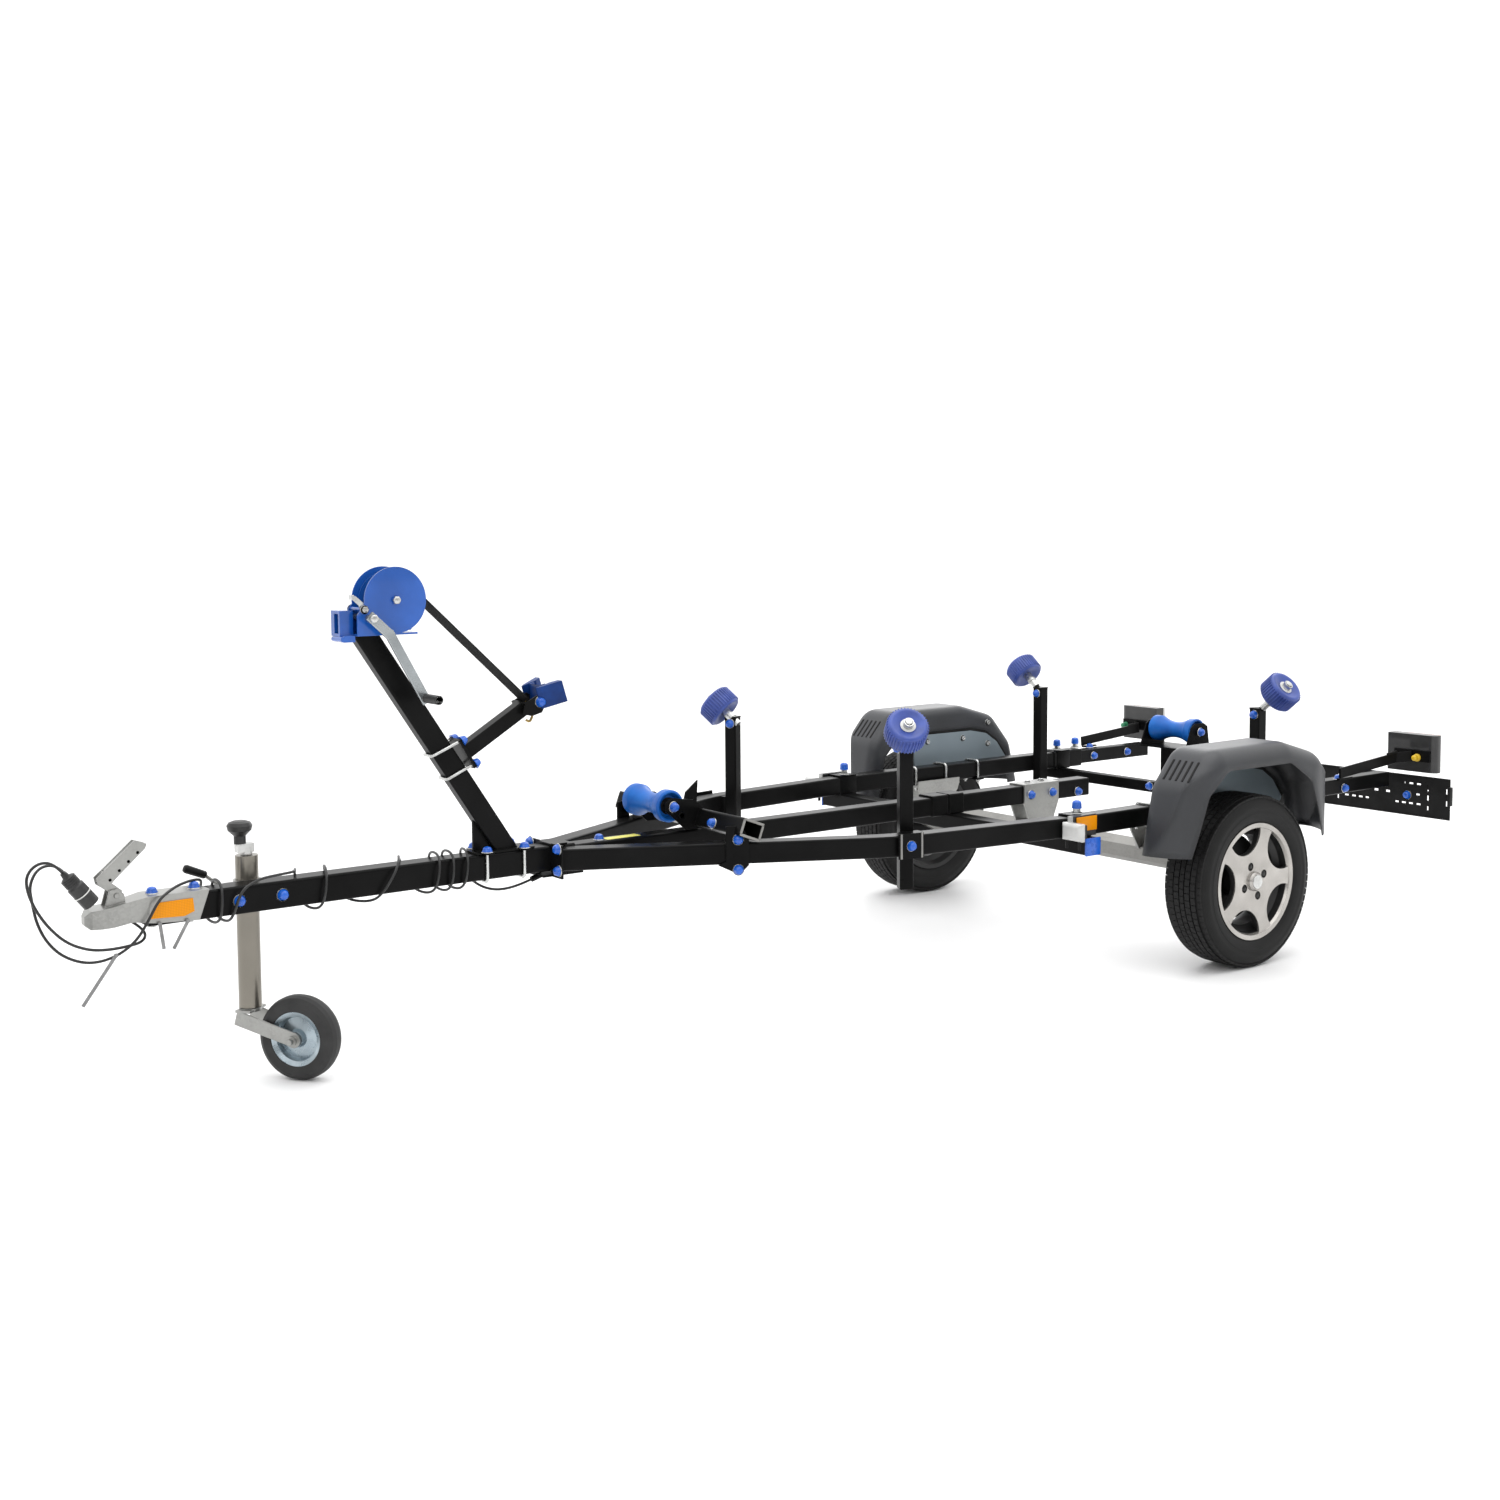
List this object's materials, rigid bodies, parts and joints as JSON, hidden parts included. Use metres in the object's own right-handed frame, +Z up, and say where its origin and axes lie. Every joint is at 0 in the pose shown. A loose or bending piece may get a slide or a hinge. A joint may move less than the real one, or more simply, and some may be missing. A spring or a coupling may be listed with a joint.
{
  "type": "boat trailer",
  "caption": "Single-axle boat trailer with a swept-in frame, hand winch and bow stop on a leaning post, keel and side rollers, jockey wheel, mudguards and rear lamps.",
  "frame": {"origin": "bottom centre of the bounding box without the electric lead and its plug, on the floor, on the trailer's middle line", "axes": "+X from the coupling towards the rear, +Y to the trailer's right, +Z up; the coupling points along -X"},
  "size_m": [4.5837, 1.67, 1.2796],
  "materials": {
    "black_frame": "satin",
    "zinc": "galvanised, satin",
    "axle_zinc": "galvanised, matt",
    "alloy": "silver paint, satin",
    "tyre": "matt",
    "blue_roller": "satin",
    "blue_pad": "satin",
    "black_plastic": "matt",
    "lamp_lens": "gloss",
    "marker_lens": "gloss",
    "strap_web": "woven",
    "winch_blue": "gloss",
    "lead_sheath": "satin"
  },
  "bodies": {
    "chassis": {"coupling_head": "zinc", "drawbar": "black_frame", "jockey_bracket": "zinc", "jockey_outer_tube": "zinc", "winch_post": "black_frame", "winch_frame": "winch_blue", "winch_strap": "strap_web", "snubber_arm": "black_frame", "bow_stop": "blue_pad", "side_rails": "black_frame", "rail_extensions": "black_frame", "centre_beam": "black_frame", "drawbar_clamp": "black_frame", "cross_members": "black_frame", "axle": "axle_zinc", "mudguards": "black_plastic", "mudguard_brackets": "axle_zinc", "axle_brackets": "zinc", "roller_posts": "black_frame", "keel_bracket_front": "black_frame", "keel_bracket_rear": "black_frame", "marker_lamps": "marker_lens", "lamp_arms": "black_frame", "rear_lamps": "lamp_lens", "number_plate_carrier": "black_plastic", "lead": "lead_sheath", "plug": "black_plastic"},
    "coupling_lever": {"coupling_lever": "zinc"},
    "jockey_slider": {"jockey_inner_tube": "zinc"},
    "jockey_caster": {"jockey_fork": "zinc"},
    "jockey_wheel": {"jockey_tyre": "tyre", "jockey_rim": "zinc"},
    "jockey_handle": {"jockey_handle": "black_plastic"},
    "winch_crank": {"winch_crank": "zinc"},
    "winch_drum": {"winch_drum": "strap_web"},
    "wheel_left": {"tyre_left": "tyre", "rim_left": "alloy"},
    "wheel_right": {"tyre_right": "tyre", "rim_right": "alloy"},
    "side_roller_front_left": {"side_roller_front_left": "blue_roller"},
    "side_roller_front_right": {"side_roller_front_right": "blue_roller"},
    "side_roller_rear_left": {"side_roller_rear_left": "blue_roller"},
    "side_roller_rear_right": {"side_roller_rear_right": "blue_roller"},
    "keel_roller_front": {"keel_roller_front": "blue_roller"},
    "keel_roller_rear": {"keel_roller_rear": "blue_roller"}
  },
  "joints": [
    {"name": "coupling_lever_lift", "type": "hinge", "parent": "chassis", "child": "coupling_lever", "pos_m": [-2.15, 0, 0.518], "axis": [0, -1, 0], "range_deg": [0, 30]},
    {"name": "jockey_height", "type": "slide", "parent": "chassis", "child": "jockey_slider", "axis": [0, 0, -1], "range_m": [0, 0.18]},
    {"name": "jockey_swivel", "type": "hinge", "parent": "jockey_slider", "child": "jockey_caster", "pos_m": [-1.8, 0.072, 0.17], "axis": [0, 0, 1], "continuous": true},
    {"name": "jockey_wheel_spin", "type": "hinge", "parent": "jockey_caster", "child": "jockey_wheel", "pos_m": [-1.71514, -0.04061, 0.107], "axis": [0.7986, 0.6018, 0], "continuous": true},
    {"name": "jockey_handle_turn", "type": "hinge", "parent": "chassis", "child": "jockey_handle", "pos_m": [-1.8, 0.072, 0.64], "axis": [0, 0, 1], "continuous": true},
    {"name": "winch_crank_turn", "type": "hinge", "parent": "chassis", "child": "winch_crank", "pos_m": [-1.507, -0.066, 1.15], "axis": [0, 1, 0], "continuous": true},
    {"name": "winch_drum_turn", "type": "hinge", "parent": "chassis", "child": "winch_drum", "pos_m": [-1.432, 0, 1.194], "axis": [0, 1, 0], "continuous": true},
    {"name": "wheel_left_spin", "type": "hinge", "parent": "chassis", "child": "wheel_left", "pos_m": [1.074, -0.735, 0.27], "axis": [0, 1, 0], "continuous": true},
    {"name": "wheel_right_spin", "type": "hinge", "parent": "chassis", "child": "wheel_right", "pos_m": [1.074, 0.735, 0.27], "axis": [0, 1, 0], "continuous": true},
    {"name": "side_roller_front_left_spin", "type": "hinge", "parent": "chassis", "child": "side_roller_front_left", "pos_m": [-0.06, -0.457, 0.793], "axis": [-0.3596, -0.6764, 0.6428], "continuous": true},
    {"name": "side_roller_front_right_spin", "type": "hinge", "parent": "chassis", "child": "side_roller_front_right", "pos_m": [-0.06, 0.457, 0.793], "axis": [-0.3596, 0.6764, 0.6428], "continuous": true},
    {"name": "side_roller_rear_left_spin", "type": "hinge", "parent": "chassis", "child": "side_roller_rear_left", "pos_m": [1.471, -0.588, 0.819], "axis": [0, -0.766, 0.6428], "continuous": true},
    {"name": "side_roller_rear_right_spin", "type": "hinge", "parent": "chassis", "child": "side_roller_rear_right", "pos_m": [1.471, 0.588, 0.819], "axis": [0, 0.766, 0.6428], "continuous": true},
    {"name": "keel_roller_front_spin", "type": "hinge", "parent": "chassis", "child": "keel_roller_front", "pos_m": [-0.626, 0, 0.587], "axis": [0, 1, 0], "continuous": true},
    {"name": "keel_roller_rear_spin", "type": "hinge", "parent": "chassis", "child": "keel_roller_rear", "pos_m": [1.658, 0, 0.629], "axis": [0, 1, 0], "continuous": true}
  ],
  "couplings": [
    {"joint": "winch_drum_turn", "follows": "winch_crank_turn", "ratio": -0.1955}
  ]
}
